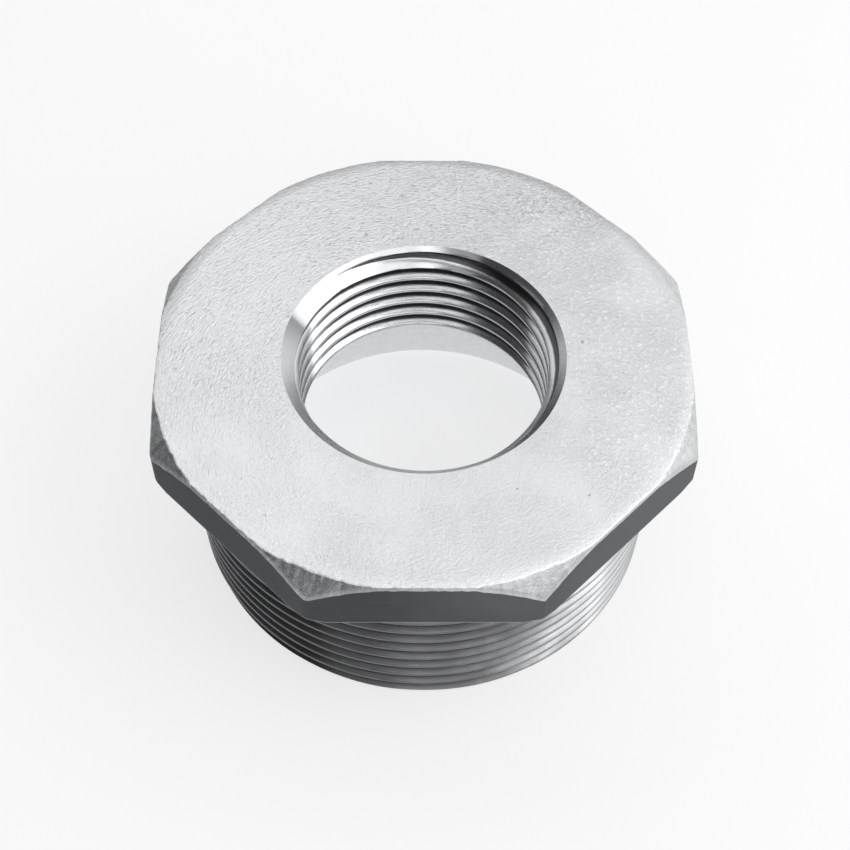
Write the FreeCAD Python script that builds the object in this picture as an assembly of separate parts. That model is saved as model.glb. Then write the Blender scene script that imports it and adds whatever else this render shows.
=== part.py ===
import FreeCAD, Part
import math
import os

from FreeCAD import Vector

# Reducing bushing, cast in one piece and machined: an octagonal head, a tapered
# male pipe thread below it and a smaller female pipe thread through the head.
# The male thread is a true helix with sharp roots, and the bore stands at the
# crests of the female thread.
# Millimetres, +Z up. The origin is the centre of the threaded end's rim.

# Head
across_flats = 64.0
flat_count = 8
head_height = 8.0
face_diameter = 64.6            # turned top face, inside the chamfer
corner_chamfer_angle = 47.0     # degrees below the top face
corner_edge_radius = 0.6        # upright edges between the flats
lower_corner_chamfer = 0.9      # 45 degrees, under the corners' lower tips

# Whole body
overall_height = 31.5

# Pipe threads, 11 to the inch, 55 degree form
threads_per_inch = 11
thread_angle = 55.0             # degrees between a groove's flanks
crest_truncation = 1 / 6        # of the thread's full triangle, at the crests

# Male taper thread, 2 inch
male_gauge_major = 59.614
male_gauge_length = 15.9        # from the small end to the gauge plane
male_taper = 1 / 16             # on diameter
male_lead_chamfer = 0.75        # at the small end, 45 degrees
male_crest_height = 2.85        # of the first whole crest on the -Y side
groove_overcut = 0.15           # how far the groove's cutter stands out of the crests

# Neck between the male thread and the head
neck_width = 3.1
neck_clearance = 0.05           # below the roots of the grooves
neck_root_chamfer = 0.7         # 45 degrees, under the head

# Female parallel thread, 1 inch
female_minor = 30.291
female_major = 33.249
mouth_clearance = 0.5           # countersink beyond the thread's major radius
female_thread_length = 13.7     # from the top face, countersink included
female_exit_chamfer = 0.8       # 45 degrees, into the cored recess

# Cored recess behind the female thread
shell_wall = 3.03               # behind the roots of the grooves at the small end
rim_inner_chamfer = 0.5

# Worked out from the sizes above
pitch = 25.4 / threads_per_inch
half_thread_angle = math.radians(thread_angle / 2)
groove_depth = pitch / 2 / math.tan(half_thread_angle) * (1 - crest_truncation)
head_bottom = overall_height - head_height
corner_radius = across_flats / 2 / math.cos(math.pi / flat_count)
shank_end_radius = (male_gauge_major - male_gauge_length * male_taper) / 2
shank_slope = male_taper / 2
neck_bottom = head_bottom - neck_width
neck_radius = shank_end_radius + shank_slope * neck_bottom - groove_depth - neck_clearance
core_radius = shank_end_radius - groove_depth - shell_wall
web_bottom = overall_height - female_thread_length - female_exit_chamfer


def at(radius, height):
    """A point of a turned profile."""
    return Vector(radius, 0, height)


def turned(points):
    """The solid swept by a closed profile of straight edges about the bushing's axis."""
    face = Part.Face(Part.makePolygon(points + points[:1]))
    return face.revolve(Vector(0, 0, 0), Vector(0, 0, 1), 360)


def head_prism():
    """The octagonal head before turning, with one flat square to -Y."""
    first = -math.pi / 2 + math.pi / flat_count
    corners = []
    for k in range(flat_count + 1):
        angle = first + k * 2 * math.pi / flat_count
        x = corner_radius * math.cos(angle)
        y = corner_radius * math.sin(angle)
        corners.append(Vector(x, y, head_bottom))
    prism = Part.Face(Part.makePolygon(corners)).extrude(Vector(0, 0, head_height))
    upright = [e for e in prism.Edges if abs(e.tangentAt(e.FirstParameter).z) > 0.99]
    return prism.makeFillet(corner_edge_radius, upright)


def head_envelope():
    """The turned solid that chamfers the corners above and below."""
    drop = (corner_radius - face_diameter / 2) * math.tan(math.radians(corner_chamfer_angle))
    return turned([
        at(0, head_bottom),
        at(corner_radius - lower_corner_chamfer, head_bottom),
        at(corner_radius, head_bottom + lower_corner_chamfer),
        at(corner_radius, overall_height - drop),
        at(face_diameter / 2, overall_height),
        at(0, overall_height),
    ])


def crest_radius(height):
    """Radius of the male thread's crests, which widen towards the head."""
    return shank_end_radius + shank_slope * height


def shank_blank():
    """The tapered blank of the male thread, to its crests, and the neck under the head.

    The neck's lower shoulder has the slope of a groove's flank."""
    shoulder_height = (crest_radius(neck_bottom) - neck_radius) * math.tan(half_thread_angle)
    shoulder_bottom = neck_bottom - shoulder_height
    return turned([
        at(0, 0),
        at(crest_radius(male_lead_chamfer) - male_lead_chamfer, 0),
        at(crest_radius(male_lead_chamfer), male_lead_chamfer),
        at(crest_radius(shoulder_bottom), shoulder_bottom),
        at(neck_radius, neck_bottom),
        at(neck_radius, head_bottom - neck_root_chamfer),
        at(neck_radius + neck_root_chamfer, head_bottom),
        at(neck_radius + neck_root_chamfer, head_bottom + head_height / 2),
        at(0, head_bottom + head_height / 2),
    ])


def male_groove():
    """The male thread's helical groove, from below the rim up into the neck."""
    groove_at_x = male_crest_height + pitch * 3 / 4
    start = groove_at_x - pitch * math.ceil(groove_at_x / pitch + 1)
    end = neck_bottom + (neck_width - neck_root_chamfer) / 2
    root = crest_radius(start) - groove_depth
    mouth = crest_radius(start) + groove_overcut
    half_mouth = (mouth - root) * math.tan(half_thread_angle)
    profile = Part.makePolygon([
        at(root, start),
        at(mouth, start - half_mouth),
        at(mouth, start + half_mouth),
        at(root, start),
    ])
    taper_angle = math.degrees(math.atan(shank_slope))
    helix = Part.makeLongHelix(pitch, end - start, root, taper_angle)
    helix.translate(at(0, start))
    return helix.makePipeShell([profile], True, True)


def threaded_shank():
    return shank_blank().cut(male_groove())


def threaded_bore():
    """The female thread's bore at its crests, countersunk above and chamfered below."""
    crest = female_minor / 2
    mouth = female_major / 2 + mouth_clearance
    return turned([
        at(0, overall_height),
        at(mouth, overall_height),
        at(crest, overall_height - (mouth - crest)),
        at(crest, web_bottom + female_exit_chamfer),
        at(crest + female_exit_chamfer, web_bottom),
        at(0, web_bottom),
    ])


def cored_recess():
    """The recess inside the shank, up to the web that holds the female thread."""
    return turned([
        at(0, 0),
        at(core_radius + rim_inner_chamfer, 0),
        at(core_radius, rim_inner_chamfer),
        at(core_radius, web_bottom),
        at(0, web_bottom),
    ])


def bushing_body():
    head = head_prism().common(head_envelope())
    blank = head.fuse(threaded_shank())
    return blank.cut(threaded_bore()).cut(cored_recess()).removeSplitter()


os.makedirs("parts", exist_ok=True)
bushing_body().exportStep("parts/bushing_body.step")
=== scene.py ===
import math

import bpy
import numpy as np
from mathutils import Matrix, Vector


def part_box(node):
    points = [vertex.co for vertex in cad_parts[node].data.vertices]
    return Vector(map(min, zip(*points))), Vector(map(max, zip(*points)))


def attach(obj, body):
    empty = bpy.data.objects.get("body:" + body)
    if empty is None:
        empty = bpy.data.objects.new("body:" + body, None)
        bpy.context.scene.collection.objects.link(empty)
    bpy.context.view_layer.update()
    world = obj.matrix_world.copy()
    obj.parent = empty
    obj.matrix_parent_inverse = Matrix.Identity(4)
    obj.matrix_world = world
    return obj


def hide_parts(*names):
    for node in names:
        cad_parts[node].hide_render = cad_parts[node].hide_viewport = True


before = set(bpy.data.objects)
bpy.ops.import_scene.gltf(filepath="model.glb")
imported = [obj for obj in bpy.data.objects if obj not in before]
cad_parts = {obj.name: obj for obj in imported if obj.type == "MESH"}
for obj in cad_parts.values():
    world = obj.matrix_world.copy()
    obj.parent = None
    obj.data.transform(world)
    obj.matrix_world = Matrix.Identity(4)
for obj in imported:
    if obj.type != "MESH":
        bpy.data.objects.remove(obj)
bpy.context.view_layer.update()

# Reducing bushing: an octagonal cast head, a tapered male thread below it and a
# smaller female thread through it. The shapes are worked out in millimetres in
# the frame of the solid, whose one flat is square to -Y, and end up in metres.
MM = 0.001
NODE = "bushing_body"
high_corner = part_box(NODE)[1]

# Head
overall_height = high_corner.z / MM
half_flats = high_corner.x / MM
flat_count = 8
sector = 2 * math.pi / flat_count
first_corner = -math.pi / 2 + sector / 2
corner_radius = half_flats / math.cos(sector / 2)
head_bottom = overall_height - 8.0
face_radius = 32.3                      # turned top face, inside the chamfer
chamfer_slope = math.tan(math.radians(47.0))
lower_corner_chamfer = 0.9
# Upright rounding of the corners, counterclockwise from the front right one
corner_rounding = np.array([0.6, 0.6, 1.2, 1.5, 1.5, 1.8, 2.0, 1.3])

# Threads, 11 to the inch, rounded 55 degree form
pitch = 25.4 / 11
thread_depth = 0.640327 * pitch
thread_rounding = 0.137329 * pitch
half_thread_angle = math.radians(27.5)

# Male taper thread
shank_end_radius = 29.3101
shank_slope = 1 / 32
lead_chamfer = 0.75
neck_bottom = head_bottom - 3.1         # plain neck between thread and head
neck_radius = 28.049
neck_root_chamfer = 0.7
male_crest_at_front = 2.85              # height of one crest at -Y

# Female parallel thread
bore_crest_radius = 15.1455
mouth_radius = bore_crest_radius + thread_depth + 0.5
exit_chamfer = 0.8
web_bottom = overall_height - 13.7 - exit_chamfer
female_crest_at_back = overall_height - 1.86

# Cored recess
core_radius = 24.432
rim_chamfer = 0.5

# Where the shank meets the head and the inside
head_inner_radius = neck_radius + neck_root_chamfer
rim_inner_radius = core_radius + rim_chamfer

# Columns of faces from one corner of the head to the next
columns = 104


def column_angles(count, crowding=1.6):
    """Angles round the axis, closer together towards every corner of the head."""
    half = count // 2
    away = (np.arange(half) / half) ** crowding
    towards = 2 - (np.arange(half, 0, -1) / half) ** crowding
    one_sector = np.concatenate([away, towards]) * sector / 2
    starts = first_corner + sector * np.arange(flat_count)
    return (starts[:, None] + one_sector[None, :]).ravel()


fine = column_angles(columns)
coarse = fine[::2]


class Shell:
    """Rings of points round the axis, joined by strips of faces."""

    def __init__(self):
        self.points = []
        self.quads = []
        self.tags = []
        self.count = 0

    def ring(self, theta, radius, height):
        """One row of points, and their numbers."""
        radius = np.broadcast_to(radius, theta.shape)
        height = np.broadcast_to(height, theta.shape)
        self.points.append(np.stack([radius * np.cos(theta), radius * np.sin(theta), height], 1))
        numbers = np.arange(self.count, self.count + len(theta))
        self.count += len(theta)
        return numbers

    def faces(self, quads, tag):
        self.quads.append(quads)
        self.tags.append(np.full(len(quads), tag))

    def strip(self, start, end, tag):
        """Faces between two whole rings, facing left of the way from start to end."""
        quads = np.stack([start, end, np.roll(end, -1), np.roll(start, -1)], 1)
        self.faces(quads, tag)

    def stitch(self, few, many, tag, inward=False):
        """Faces between a coarse ring and one of twice as many points."""
        after = np.roll(few, -1)
        middle = many[1::2]
        left = many[::2]
        right = np.roll(many, -1)[1::2]
        corners = [[few, left, middle], [few, middle, after], [after, middle, right]]
        for a, b, c in corners:
            if inward:
                b, c = c, b
            self.faces(np.stack([a, b, c, c], 1), tag)

    def rings(self, theta, rows, tag):
        """Consecutive rings of (radius, height) rows, joined up."""
        numbers = [self.ring(theta, radius, height) for radius, height in rows]
        for start, end in zip(numbers, numbers[1:]):
            self.strip(start, end, tag)

    def helix(self, theta, crest, radius_at, bottom, top, tag, downward=False):
        """Rows that follow a thread between two heights, closer on its rounded crests and roots."""
        bends = thread_rounding * math.cos(half_thread_angle) / pitch
        half = [0, 0.37 * bends, 0.7 * bends, bends, 0.2, 0.3, 0.5 - bends, 0.5 - 0.7 * bends,
                0.5 - 0.37 * bends]
        one_pitch = np.array(half + [1 - x for x in reversed(half[1:])] + [0.5])
        one_pitch = np.sort(one_pitch) * pitch
        rise = pitch * (theta - theta[0]) / (2 * math.pi)
        start = crest - pitch * math.ceil((crest + pitch - bottom) / pitch)
        turns = math.ceil((top - start) / pitch)
        offsets = (start + pitch * np.arange(turns)[:, None] + one_pitch[None, :]).ravel()
        offsets = np.append(offsets, start + turns * pitch)
        rows = []
        for offset in offsets:
            height = np.clip(offset + rise, bottom, top)
            rows.append(self.ring(theta, radius_at(height, theta), height))
        rows = np.array(rows)
        ahead = np.minimum(np.arange(len(rows)) + len(one_pitch), len(rows) - 1)
        after = np.concatenate([rows[:, 1:], rows[ahead, :1]], 1)
        quads = np.stack([rows[:-1], rows[1:], after[1:], after[:-1]], 2).reshape(-1, 4)
        if downward:
            quads = quads[:, ::-1]
        self.faces(quads, tag)

    def finished(self, name, materials):
        """Makes the piece, with doubled points merged and collapsed faces dropped."""
        points = np.concatenate(self.points)
        quads = np.concatenate(self.quads)
        tags = np.concatenate(self.tags)
        merging_grid = 1e4              # places per millimetre
        keys = np.round(points * merging_grid).astype(np.int64)
        _, kept, merged = np.unique(keys, axis=0, return_index=True, return_inverse=True)
        quads = merged.reshape(-1)[quads]
        polygons = []
        polygon_tags = []
        for corners, tag in zip(quads.tolist(), tags.tolist()):
            corners = [c for k, c in enumerate(corners) if c != corners[k - 1]]
            if len(set(corners)) == len(corners) > 2:
                polygons.append(corners)
                polygon_tags.append(tag)
        mesh = bpy.data.meshes.new(name)
        mesh.from_pydata((points[kept] * MM).tolist(), [], polygons)
        for material in materials:
            mesh.materials.append(material)
        mesh.polygons.foreach_set("material_index", np.array(polygon_tags, np.int32))
        mesh.update()
        mesh.shade_smooth()
        mesh.set_sharp_from_angle(angle=math.radians(36))
        piece = bpy.data.objects.new(name, mesh)
        bpy.context.scene.collection.objects.link(piece)
        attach(piece, "root")
        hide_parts(NODE)


def rounded_path(theta, points, setbacks, spans, bend):
    """Rows of a profile through the points, each inner corner rounded off.

    A point is (radius, height), a setback is how far before and after its corner
    the rounding starts and ends, spans are the rows along each straight, and bend
    is the rows of each rounding."""
    points = [np.stack(np.broadcast_arrays(*p, theta)[:2]) for p in points]
    rows = []
    start = points[0]
    for k in range(1, len(points)):
        last = k == len(points) - 1
        before = points[k] - points[k - 1]
        length = np.hypot(*before)
        end = points[k]
        if not last:
            end = points[k] - before / length * np.minimum(setbacks[k - 1][0], 0.48 * length)
        for step in range(spans[k - 1]):
            rows.append(start + (end - start) * step / spans[k - 1])
        if last:
            rows.append(end)
            break
        after = points[k + 1] - points[k]
        length = np.hypot(*after)
        start = points[k] + after / length * np.minimum(setbacks[k - 1][1], 0.48 * length)
        for step in range(bend):
            t = step / bend
            rows.append((1 - t) ** 2 * end + 2 * t * (1 - t) * points[k] + t * t * start)
    return rows


def ragged(theta, lowest, highest, seed):
    """Seeded waviness round the axis, about -1 to 1, of lowest to highest waves a turn."""
    rng = np.random.default_rng(seed)
    total = np.zeros_like(theta)
    waves = np.unique(np.geomspace(lowest, highest, 24).astype(int))
    for wave in waves:
        total += np.cos(wave * theta + rng.uniform(0, 2 * math.pi)) * rng.uniform(0.5, 1)
    return total / math.sqrt(len(waves))


def facing(theta, azimuth):
    """1 on the side that faces an azimuth in degrees, fading to 0 on the other side."""
    return (0.5 + 0.5 * np.cos(theta - math.radians(azimuth))) ** 2


def octagon_radius(theta):
    """Distance from the axis to the head's outline, its upright corners rounded."""
    turned = (theta - first_corner + sector / 2) / sector
    rounding = corner_rounding[np.floor(turned).astype(int) % flat_count]
    from_corner = np.abs((turned % 1) - 0.5) * sector
    from_flat = sector / 2 - from_corner
    centre = (half_flats - rounding) / math.cos(sector / 2)
    flat_end = np.arctan((half_flats - rounding) * math.tan(sector / 2) / half_flats)
    aside = np.minimum(centre * np.sin(from_corner), rounding)
    rounded = centre * np.cos(from_corner) + np.sqrt(rounding ** 2 - aside ** 2)
    return np.where(from_flat > flat_end, rounded, half_flats / np.cos(from_flat))


def thread_groove(height, theta, crest, crest_angle):
    """Depth of the rounded thread form below its crests."""
    phase = (height - crest - pitch * (theta - crest_angle) / (2 * math.pi)) / pitch
    away = np.abs(phase - np.round(phase)) * pitch
    bend_end = thread_rounding * math.cos(half_thread_angle)
    crest_arc = thread_rounding - np.sqrt(thread_rounding ** 2 - np.minimum(away, bend_end) ** 2)
    from_root = np.minimum(pitch / 2 - away, bend_end)
    root_arc = thread_rounding - np.sqrt(thread_rounding ** 2 - from_root ** 2)
    flank = thread_depth / 2 + (away - pitch / 4) / math.tan(half_thread_angle)
    depth = np.where(away < bend_end, crest_arc, flank)
    return np.where(pitch / 2 - away < bend_end, thread_depth - root_arc, depth)


def shank_radius(height):
    return shank_end_radius + shank_slope * height


def male_radius(height, theta):
    """The male thread between its lead chamfer and the shoulder of the neck."""
    groove = thread_groove(height, theta, male_crest_at_front, -math.pi / 2)
    lead = shank_radius(lead_chamfer) - lead_chamfer + height
    shoulder = neck_radius + (neck_bottom - height) / math.tan(half_thread_angle)
    return np.minimum(shank_radius(height) - groove, np.minimum(lead, shoulder))


def female_radius(height, theta):
    """The female thread, its countersunk mouth and its exit chamfer."""
    groove = thread_groove(height, theta, female_crest_at_back, math.pi / 2)
    countersink = mouth_radius - (overall_height - height)
    exit_cone = bore_crest_radius + exit_chamfer - (height - web_bottom)
    return np.maximum(np.maximum(bore_crest_radius + groove, countersink), exit_cone)


def crest_height(crest, crest_angle, theta):
    """The height of one crest at the angle theta."""
    return crest + pitch * (theta - crest_angle) / (2 * math.pi)


def head(materials):
    """The octagonal head, from the mouth of the bore over the face to the shank.

    Its materials are those of the face, the chamfers, the flats and the underside.
    A rounded edge belongs to the surface above it."""
    shell = Shell()
    outline = octagon_radius(fine)
    # The edges are nicked most at the front left, and the rim is rolled over most at the right
    nicks = 0.03 + 0.06 * facing(fine, -135)
    rolled = 0.14 + 0.8 * np.sqrt(facing(fine, 50))
    edge_break = 0.16 + nicks * ragged(fine, 40, 220, 3)
    rim = np.minimum(face_radius + nicks * ragged(fine, 20, 220, 5), outline - edge_break)
    foot = overall_height - (outline - rim) * chamfer_slope
    lower_cut = np.maximum(outline - (corner_radius - lower_corner_chamfer), 0.15)
    face_rows, chamfer_rows, flat_rows, cut_rows, underside_rows, bend_rows = 22, 5, 8, 3, 5, 4
    rows = rounded_path(
        fine,
        [
            (mouth_radius, overall_height),
            (rim, overall_height),
            (outline, foot),
            (outline, head_bottom + lower_cut),
            (outline - lower_cut, head_bottom),
            (head_inner_radius, head_bottom),
        ],
        [(rolled, 0.14), (0.45, 0.45), (0.15, 0.15), (0.1, 0.1)],
        [face_rows, chamfer_rows, flat_rows, cut_rows, underside_rows],
        bend_rows,
    )
    face_end = face_rows + bend_rows
    chamfer_end = face_end + chamfer_rows + bend_rows
    flat_end = chamfer_end + flat_rows
    mouth = shell.ring(coarse, mouth_radius, overall_height)
    numbers = [shell.ring(fine, *row) for row in rows[1:-1]]
    root = shell.ring(coarse, head_inner_radius, head_bottom)
    shell.stitch(mouth, numbers[0], 0)
    for row in range(1, len(numbers)):
        tag = sum(row + 1 > last for last in (face_end, chamfer_end, flat_end))
        shell.strip(numbers[row - 1], numbers[row], tag)
    shell.stitch(root, numbers[-1], 3, inward=True)
    shell.finished("bushing_head", materials)


def male_thread(material):
    """The shank: neck, taper thread with its lead chamfer, and the end rim."""
    shell = Shell()
    neck = rounded_path(
        coarse,
        [
            (head_inner_radius, head_bottom),
            (neck_radius, head_bottom - neck_root_chamfer),
            (neck_radius, neck_bottom),
        ],
        [(0.4, 0.4)],
        [2, 4],
        4,
    )
    shell.rings(coarse, neck, 0)
    crest = crest_height(male_crest_at_front, -math.pi / 2, coarse[0])
    shell.helix(coarse, crest, male_radius, 0.0, neck_bottom, 0, downward=True)
    lead_radius = shank_radius(lead_chamfer) - lead_chamfer
    rim = [(radius, 0.0) for radius in np.linspace(lead_radius, rim_inner_radius, 7)]
    shell.rings(coarse, rim, 0)
    shell.finished("male_thread", [material])


def bore_and_recess(materials):
    """The inside: rim chamfer, cored recess, web and the female thread to its mouth.

    Its materials are those of the thread and of the recess."""
    shell = Shell()
    recess = rounded_path(
        coarse,
        [
            (rim_inner_radius, 0.0),
            (core_radius, rim_chamfer),
            (core_radius, web_bottom),
            (bore_crest_radius + exit_chamfer, web_bottom),
        ],
        [(0.15, 0.15), (0.35, 0.35)],
        [2, 12, 5],
        4,
    )
    shell.rings(coarse, recess, 1)
    crest = crest_height(female_crest_at_back, math.pi / 2, coarse[0])
    shell.helix(coarse, crest, female_radius, web_bottom, overall_height, 0)
    shell.finished("bore_and_recess", materials)


class Nodes:
    """Short calls that build a new material, or a node tree that is there."""

    def __init__(self, name=None, tree=None):
        if tree is None:
            self.material = bpy.data.materials.new(name)
            self.material.use_nodes = True
            tree = self.material.node_tree
        self.tree = tree
        self.tree.nodes.clear()

    def add(self, kind, settings=(), **inputs):
        """A node, its settings, and its inputs by name or number, each a value or a link."""
        node = self.tree.nodes.new(kind)
        for key, value in dict(settings).items():
            setattr(node, key, value)
        for key, value in inputs.items():
            name = int(key[1:]) if key.startswith("_") else key.replace("_", " ")
            self.plug(node.inputs[name], value)
        return node

    def plug(self, socket, value):
        if isinstance(value, bpy.types.NodeSocket):
            self.tree.links.new(value, socket)
        else:
            socket.default_value = value

    def maths(self, operation, a, b=0.0, c=0.0):
        node = self.add("ShaderNodeMath", {"operation": operation}, _0=a, _1=b, _2=c)
        return node.outputs[0]

    def position(self):
        """The point on the object, in millimetres."""
        coordinates = self.add("ShaderNodeTexCoord").outputs["Object"]
        node = self.add("ShaderNodeVectorMath", {"operation": "SCALE"}, _0=coordinates, Scale=1000.0)
        return node.outputs[0]

    def polar(self, position):
        """Distance from the axis, angle round it and height, in millimetres and radians."""
        parts = self.add("ShaderNodeSeparateXYZ", _0=position)
        x, y, z = parts.outputs
        squares = self.maths("ADD", self.maths("MULTIPLY", x, x), self.maths("MULTIPLY", y, y))
        return self.maths("SQRT", squares), self.maths("ARCTAN2", y, x), z

    def vector(self, x, y, z):
        return self.add("ShaderNodeCombineXYZ", _0=x, _1=y, _2=z).outputs[0]

    def shifted(self, position, offset):
        return self.add("ShaderNodeVectorMath", {"operation": "ADD"}, _0=position, _1=offset).outputs[0]

    def side(self, position, azimuth, start, end, wavering=30.0):
        """0 to 1 from start to end millimetres towards an azimuth, with a wavering border."""
        towards = (math.cos(math.radians(azimuth)), math.sin(math.radians(azimuth)), 0.0)
        reach = self.add("ShaderNodeVectorMath", {"operation": "DOT_PRODUCT"},
                         _0=position, _1=towards).outputs["Value"]
        reach = self.maths("MULTIPLY_ADD", self.noise(position, 0.09, 3.0), wavering, reach)
        return self.remap(reach, start + wavering / 2, end + wavering / 2, smooth=True)

    def round_axis(self, position, radial, around, upright=0.0):
        """The position for a grain drawn out round the axis, with no seam.

        The grain's counts are per millimetre outwards, per radian and per millimetre of height."""
        radius, angle, height = self.polar(position)
        along = self.maths("MULTIPLY_ADD", height, upright, self.maths("MULTIPLY", radius, radial))
        x = self.maths("MULTIPLY", self.maths("COSINE", angle), around)
        y = self.maths("MULTIPLY", self.maths("SINE", angle), around)
        return self.vector(along, x, y)

    def noise(self, position, scale, detail=4.0, roughness=0.55, distortion=0.0):
        """Seamless noise, mostly between 0.3 and 0.7."""
        node = self.add("ShaderNodeTexNoise", Vector=position, Scale=scale, Detail=detail,
                        Roughness=roughness, Distortion=distortion)
        return node.outputs[0]

    def remap(self, value, low, high, to_low=0.0, to_high=1.0, smooth=False):
        """The value's run from low to high as one from to_low to to_high, held beyond both."""
        kind = "SMOOTHSTEP" if smooth else "LINEAR"
        node = self.add("ShaderNodeMapRange", {"interpolation_type": kind}, Value=value,
                        From_Min=low, From_Max=high, To_Min=to_low, To_Max=to_high)
        return node.outputs[0]

    def mix(self, share, a, b):
        """One colour to another by a share."""
        return self.add("ShaderNodeMix", {"data_type": "RGBA"}, _0=share, _6=a, _7=b).outputs[2]

    def bump(self, height, distance):
        """A bump of a height from 0 to 1 over a distance in millimetres."""
        return self.add("ShaderNodeBump", Strength=1.0, Distance=distance * MM, Height=height).outputs[0]

    def metal(self, colour, roughness, normal, turned=0.0, edge_tint=1.0):
        """Ends the material in bare steel, whose highlights are drawn out across turned lines."""
        shader = self.add("ShaderNodeBsdfPrincipled", Base_Color=colour, Metallic=1.0, Roughness=roughness,
                          Specular_Tint=grey(edge_tint), Anisotropic=turned, Normal=normal)
        if turned:
            tangent = self.add("ShaderNodeTangent", {"direction_type": "RADIAL", "axis": "Z"})
            self.plug(shader.inputs["Tangent"], tangent.outputs[0])
            self.plug(shader.inputs["Anisotropic Rotation"], 0.25)
        self.add("ShaderNodeOutputMaterial", Surface=shader.outputs[0])
        return self.material


def grey(value):
    """A faintly cool grey."""
    return (value * 0.985, value, value * 1.012, 1.0)


def face_steel():
    """The head's face: pale and finely blasted, with broken cutter marks, patches and pits."""
    n = Nodes("face_steel")
    p = n.position()
    radius = n.polar(p)[0]
    grain = n.noise(p, 2.8, 3.0, 0.6)
    marks = n.noise(n.round_axis(n.shifted(p, (0.0, 11.0, 0.0)), 5.0, 44.0), 1.0, 3.0, 0.6, 0.5)
    pebbles = n.noise(p, 1.9, 3.0, 0.6, 0.3)
    marked_side = n.side(p, 125, -6.0, 16.0)
    pebbled_side = n.side(p, 25, 4.0, 18.0)
    patches = n.noise(p, 0.13, 3.0, 0.55)
    pits = n.remap(n.noise(p, 0.9, 2.0, 0.5), 0.19, 0.25, smooth=True)
    colour = n.mix(n.remap(patches, 0.35, 0.65), grey(0.66), grey(0.71))
    # Painted light: the face is painted paler towards the left.
    colour = n.mix(n.side(p, 165, -20.0, 12.0), colour, grey(0.79))
    dashes = n.maths("MULTIPLY", n.remap(marks, 0.33, 0.45, 0.55, 0.0, smooth=True), marked_side)
    colour = n.mix(dashes, colour, grey(0.34))
    # Painted highlights on the pebbles of the face's right side.
    painted_pebble_highlights = n.maths("MULTIPLY", n.remap(pebbles, 0.54, 0.68, 0.0, 0.7, smooth=True), pebbled_side)
    colour = n.mix(painted_pebble_highlights, colour, grey(0.90))
    # Painted highlight and shade along the rim: lighter towards the front, darker elsewhere on the rolled
    # edge.
    rim = n.remap(radius, face_radius - 1.8, face_radius - 0.3, 0.0, 0.6, smooth=True)
    colour = n.mix(rim, colour, n.mix(n.side(p, -80, -22.0, 8.0), grey(0.46), grey(0.82)))
    colour = n.mix(pits, grey(0.36), colour)
    roughness = n.remap(grain, 0.3, 0.7, 0.36, 0.52)
    relief = n.maths("MULTIPLY", marks, n.remap(marked_side, 0.0, 1.0, 1.2, 2.6))
    relief = n.maths("MULTIPLY_ADD", pebbles, n.remap(pebbled_side, 0.0, 1.0, 1.0, 1.6), relief)
    relief = n.maths("MULTIPLY_ADD", grain, 0.8, relief)
    relief = n.maths("MULTIPLY", relief, n.remap(patches, 0.42, 0.68, 1.0, 0.7, smooth=True))
    relief = n.maths("ADD", relief, pits)
    return n.metal(colour, roughness, n.bump(relief, 0.07))


def flat_steel():
    """The eight flats: dark smooth steel with faint lines along them, dull stains and painted shade."""
    n = Nodes("flat_steel")
    p = n.position()
    brush = n.noise(n.round_axis(p, 0.05, 3.0, 2.2), 1.0, 3.0, 0.6)
    stains = n.noise(p, 0.22, 4.0, 0.6)
    # Painted shade: the flats' dark grey is partly the steel's own tone and partly painted shade, darkest
    # towards the left front.
    shade = n.maths("MULTIPLY_ADD", stains, 0.4, n.side(p, 30, -34.0, 12.0))
    colour = n.mix(n.remap(shade, 0.1, 1.3), grey(0.055), grey(0.17))
    colour = n.mix(n.remap(brush, 0.5, 0.8, 0.0, 0.3), colour, grey(0.14))
    return n.metal(colour, n.remap(stains, 0.3, 0.7, 0.36, 0.44), n.bump(brush, 0.02), edge_tint=0.6)


def chamfer_steel():
    """The corner chamfers: coarse cast skin, painted darker towards the left and lighter towards the
    right, as painted shade and light.
    """
    n = Nodes("chamfer_steel")
    p = n.position()
    grain = n.noise(p, 1.7, 5.0, 0.68)
    rays = n.noise(n.round_axis(p, 0.6, 30.0), 1.0, 3.0, 0.6)
    # Painted light and shade: lighter towards azimuth -12, darker away from it, with fewer pores and
    # stronger streaks on the lighter side.
    painted_lit_side = n.side(p, -12, -26.0, 30.0)
    colour = n.mix(painted_lit_side, grey(0.18), grey(0.58))
    streaks = n.maths("MULTIPLY", n.remap(rays, 0.48, 0.64, 0.0, 0.5), n.remap(painted_lit_side, 0.0, 1.0, 0.3, 1.0))
    colour = n.mix(streaks, colour, grey(0.74))
    colour = n.mix(n.remap(grain, 0.56, 0.68, 0.0, 0.35), colour, grey(0.72))
    pores = n.maths("MULTIPLY", n.remap(grain, 0.3, 0.42, 0.5, 0.0), n.remap(painted_lit_side, 0.0, 1.0, 1.0, 0.4))
    colour = n.mix(pores, colour, grey(0.2))
    relief = n.maths("MULTIPLY", grain, n.remap(painted_lit_side, 0.0, 1.0, 1.6, 0.6))
    relief = n.maths("MULTIPLY_ADD", rays, 0.7, relief)
    return n.metal(colour, n.remap(grain, 0.3, 0.7, 0.20, 0.34), n.bump(relief, 0.10))


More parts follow.
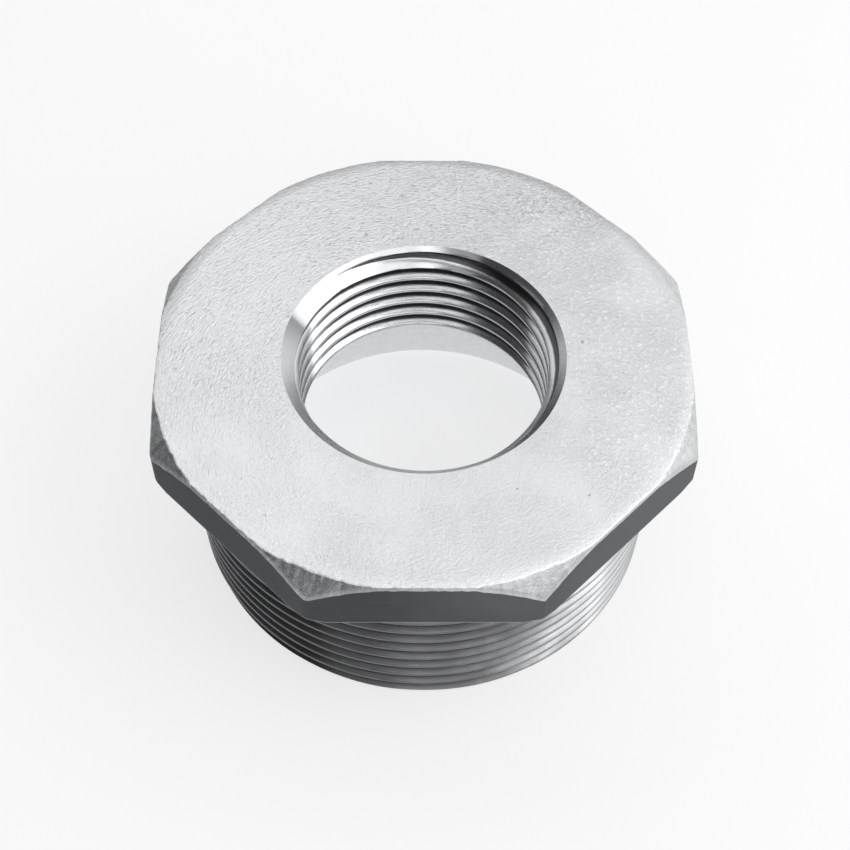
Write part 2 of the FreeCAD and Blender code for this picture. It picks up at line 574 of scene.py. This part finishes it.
def thread_steel(name, dull, bright, painted_light_side, roughness, in_groove, root_shade_on_lit_side):
    """Machined thread: fine tool lines along it, painted light and shade that make it darker away from one
    side, and painted shade in the roots.

    That side is an azimuth and where the steel starts and ends turning lighter towards it, and the last
    argument is the share of the painted root shade that is left there."""
    n = Nodes(name)
    p = n.position()
    lines = n.noise(n.round_axis(p, 9.0, 5.0, 9.0), 1.0, 3.0, 0.6)
    stains = n.noise(p, 0.35, 4.0, 0.6)
    # Painted light and shade with stains: lighter towards one side, darker away from it.
    shade = n.maths("MULTIPLY_ADD", stains, 0.4, n.side(p, *painted_light_side))
    colour = n.mix(n.remap(shade, 0.1, 1.3), grey(dull), grey(bright))
    radius, _, height = n.polar(p)
    depth = n.maths("MULTIPLY_ADD", n.maths("SUBTRACT", stains, 0.5), 0.3, in_groove(n, radius, height))
    # Painted shade deep in the thread's roots, with less of it on the lighter side.
    root_shade_left = n.remap(shade, 0.6, 1.2, 1.0, root_shade_on_lit_side)
    painted_root_shade = n.maths("MULTIPLY", n.remap(depth, 0.55, 0.80, smooth=True), root_shade_left)
    colour = n.mix(painted_root_shade, colour, grey(0.07))
    spread = n.remap(lines, 0.3, 0.7, roughness * 0.85, roughness * 1.15)
    return n.metal(colour, spread, n.bump(lines, 0.006), turned=0.85)


def depth_outside(n, radius, height):
    """Depth below the male thread's crests."""
    crest = n.maths("MULTIPLY_ADD", height, shank_slope, shank_end_radius)
    return n.maths("SUBTRACT", crest, radius)


def depth_inside(n, radius, height):
    """Depth below the female thread's crests, and none on the countersink."""
    depth = n.maths("SUBTRACT", radius, bore_crest_radius)
    below_cone = n.maths("SUBTRACT", n.maths("ADD", radius, overall_height - mouth_radius), height)
    return n.maths("MULTIPLY", depth, n.remap(below_cone, 0.03, 0.2))


def cast_skin(name, low, high):
    """Dull sand-cast skin."""
    n = Nodes(name)
    p = n.position()
    grain = n.noise(p, 1.1, 6.0, 0.65)
    colour = n.mix(n.remap(grain, 0.3, 0.7), grey(low), grey(high))
    return n.metal(colour, n.remap(grain, 0.3, 0.7, 0.5, 0.7), n.bump(grain, 0.25))


# How white the floor and the horizon are by themselves to the camera and in reflections
floor_whiteness = 0.7


def looking(place, forward, right):
    """The matrix of a lamp or camera at place that looks forward, with right to its right."""
    up = right.cross(forward)
    return Matrix.Translation(place) @ Matrix((right, up, -forward)).transposed().to_4x4()


def direction(azimuth, elevation):
    """The unit vector towards an azimuth counterclockwise from +X and an elevation, in degrees."""
    a = math.radians(azimuth)
    e = math.radians(elevation)
    return Vector((math.cos(a) * math.cos(e), math.sin(a) * math.cos(e), math.sin(e)))


def softbox(name, azimuth, elevation, distance, width, height, radiance):
    """A rectangular lamp that looks as bright as its radiance, 1 being white."""
    lamp = bpy.data.lights.new(name, "AREA")
    lamp.shape = "RECTANGLE"
    lamp.size = width
    lamp.size_y = height
    lamp.energy = radiance * math.pi * width * height
    holder = bpy.data.objects.new(name, lamp)
    target = Vector((0, 0, overall_height * MM))
    outward = direction(azimuth, elevation)
    right = Vector((0, 0, 1)).cross(outward).normalized()
    holder.matrix_world = looking(target + outward * distance, -outward, right)
    bpy.context.scene.collection.objects.link(holder)


def background_seen(n):
    """1 for the rays that show the background as it is, and 0 for those that carry light."""
    rays = n.add("ShaderNodeLightPath").outputs
    seen = n.maths("MAXIMUM", rays["Is Camera Ray"], rays["Is Glossy Ray"])
    return n.maths("MAXIMUM", seen, rays["Is Transmission Ray"])


def studio_world(level, horizon_start=5, horizon_end=16):
    """A dim even surround, which shows pale below and fades out between two elevations."""
    world = bpy.data.worlds.new("surround")
    world.use_nodes = True
    n = Nodes(tree=world.node_tree)
    way = n.add("ShaderNodeTexCoord").outputs["Generated"]
    rise = n.add("ShaderNodeSeparateXYZ", _0=way).outputs[2]
    horizon = n.remap(rise, math.sin(math.radians(horizon_start)), math.sin(math.radians(horizon_end)),
                      floor_whiteness, 0.0, smooth=True)
    strength = n.maths("MULTIPLY_ADD", horizon, background_seen(n), level)
    background = n.add("ShaderNodeBackground", Color=grey(1.0), Strength=strength)
    n.add("ShaderNodeOutputWorld", Surface=background.outputs[0])
    bpy.context.scene.world = world


def floor(half_side=2.0, gap=0.02 * MM):
    """A plain pale floor, just below the bushing."""
    n = Nodes("pale_floor")
    cloud = n.noise(n.position(), 0.02, 2.0)
    lit = n.add("ShaderNodeBsdfDiffuse", Color=n.mix(cloud, grey(0.90), grey(0.92)))
    white = n.add("ShaderNodeEmission", Strength=1.0)
    share = n.maths("MULTIPLY", background_seen(n), floor_whiteness)
    surface = n.add("ShaderNodeMixShader", _0=share, _1=lit.outputs[0], _2=white.outputs[0])
    n.add("ShaderNodeOutputMaterial", Surface=surface.outputs[0])
    mesh = bpy.data.meshes.new("floor")
    corners = [(half_side * x, half_side * y, 0) for x, y in ((-1, -1), (1, -1), (1, 1), (-1, 1))]
    mesh.from_pydata(corners, [], [(0, 1, 2, 3)])
    mesh.materials.append(n.material)
    plane = bpy.data.objects.new("floor", mesh)
    plane.location.z = -gap
    bpy.context.scene.collection.objects.link(plane)


def photograph_camera():
    """The camera at the photograph's viewing angle."""
    yaw = math.radians(0.652)
    dip = math.radians(55.069)
    roll = math.radians(0.543)
    place = Vector((-1.132, -118.251, 185.976)) * MM
    forward = Vector((math.sin(yaw) * math.cos(dip), math.cos(yaw) * math.cos(dip), -math.sin(dip)))
    right = Vector((math.cos(yaw), -math.sin(yaw), 0))
    data = bpy.data.cameras.new("photograph")
    data.sensor_width = 36.0
    data.lens = 68.748
    data.clip_start = 0.01
    data.clip_end = 20.0
    camera = bpy.data.objects.new("photograph", data)
    camera.matrix_world = looking(place, forward, right) @ Matrix.Rotation(roll, 4, "Z")
    bpy.context.scene.collection.objects.link(camera)
    bpy.context.scene.camera = camera


head([face_steel(), chamfer_steel(), flat_steel(), cast_skin("head_underside", 0.30, 0.42)])
# Painted light and shade: the male thread is darker at the front left and lighter at the back right, and
# the female thread is lighter towards the left.
male_thread(thread_steel("male_thread_steel", 0.16, 0.48, (68, -24, -8), 0.3, depth_outside, 0.5))
bore_and_recess([
    thread_steel("female_thread_steel", 0.52, 0.72, (180, -10, 6), 0.2, depth_inside, 1.0),
    # The recess skin's pale grey is partly its own tone and partly painted light on the wall inside.
    cast_skin("recess_skin", 0.84, 0.95),
])

floor()
# Azimuth, elevation, distance, width, height and radiance
softbox("front_right_window", -57, 35, 0.6, 0.92, 0.42, 1.3)
softbox("front_card", -110, 40, 0.6, 0.38, 0.26, 0.55)
softbox("right_window", -3, 24, 0.6, 0.4, 0.4, 1.4)
softbox("high_right_window", -8, 52, 0.6, 0.5, 0.2, 2.8)
softbox("low_right_card", 45, 2, 0.6, 0.6, 0.36, 0.4)
softbox("back_left_card", 140, 4, 0.6, 0.5, 0.2, 0.35)
softbox("back_softbox", 94, 52, 0.6, 1.2, 0.5, 1.2)
softbox("overhead_softbox", -80, 83, 0.62, 0.4, 0.3, 2.0)
studio_world(0.07)
photograph_camera()
bpy.context.scene.view_settings.view_transform = "Standard"
